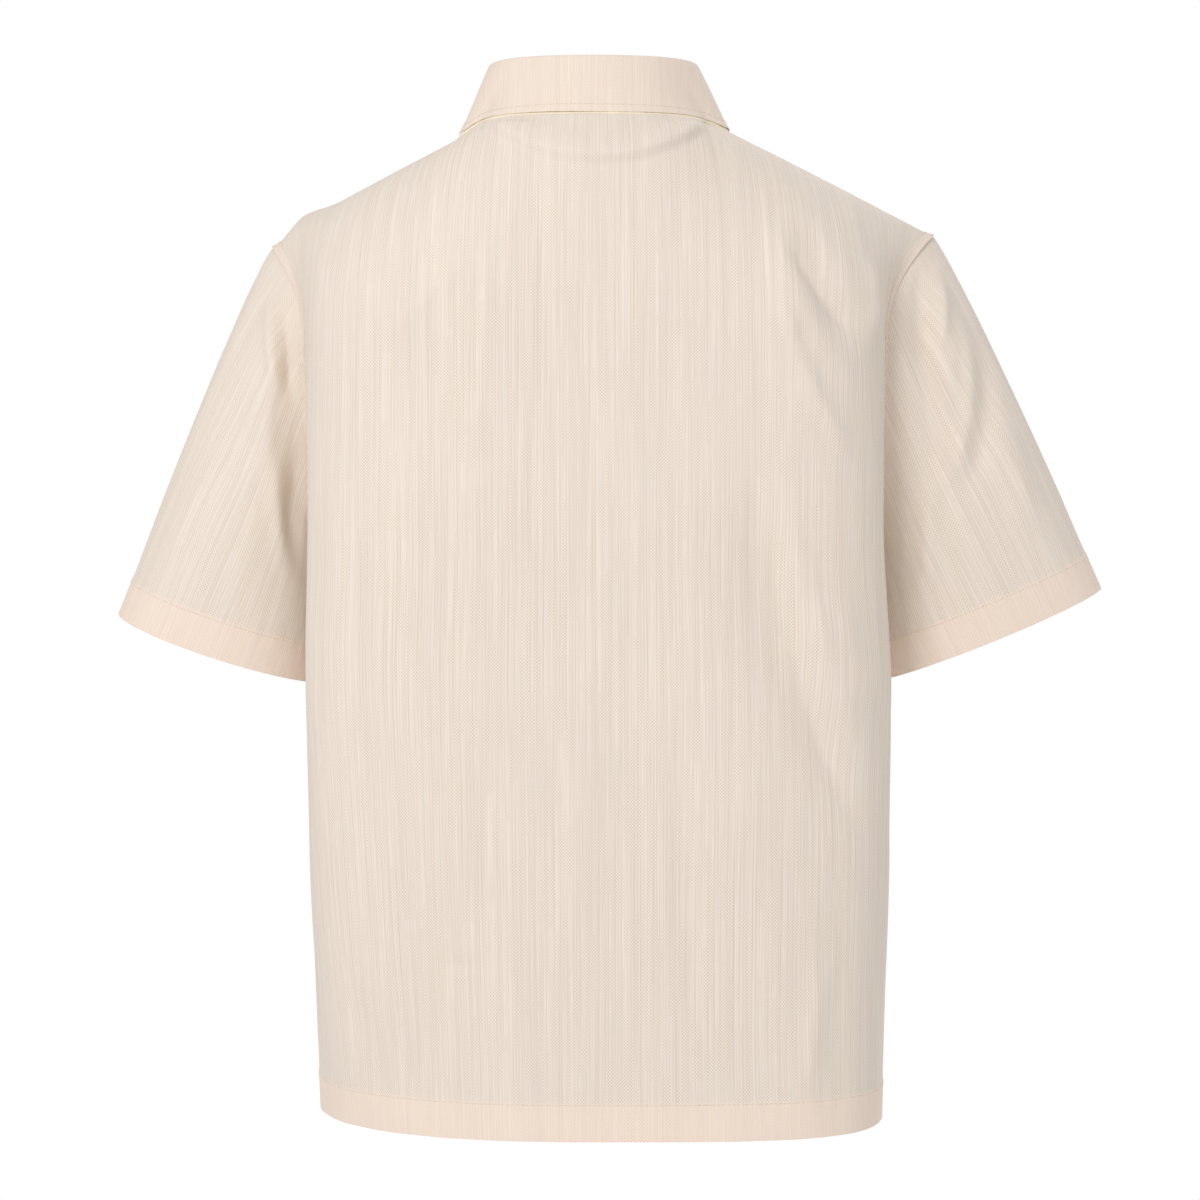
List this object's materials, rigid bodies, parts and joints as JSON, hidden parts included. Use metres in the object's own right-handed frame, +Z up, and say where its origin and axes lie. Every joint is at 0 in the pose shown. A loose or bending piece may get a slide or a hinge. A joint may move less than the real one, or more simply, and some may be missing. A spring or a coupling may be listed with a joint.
{
  "type": "short-sleeve shirt",
  "caption": "Boxy short-sleeve shirt with a turn-down collar and a buttoned front, filled out as worn and hollow.",
  "frame": {"origin": "middle of the neck opening, level with the points where the shoulder seams meet the collar", "axes": "+Z up; the front faces -Y and the back +Y; the wearer's left is +X"},
  "size_m": [0.689, 0.2795, 0.7223],
  "materials": {
    "body_cloth": "matt slubby woven cotton",
    "collar_cloth": "matt slubby woven cotton, doubled",
    "button": "polished resin"
  },
  "bodies": {
    "root": {"back": "body_cloth", "front_left": "body_cloth", "front_right": "body_cloth", "sleeve_left": "body_cloth", "sleeve_right": "body_cloth", "collar_stand": "collar_cloth", "collar": "collar_cloth", "button_1": "button", "button_2": "button", "button_3": "button", "button_4": "button", "button_5": "button", "button_6": "button", "button_7": "button"}
  },
  "joints": []
}
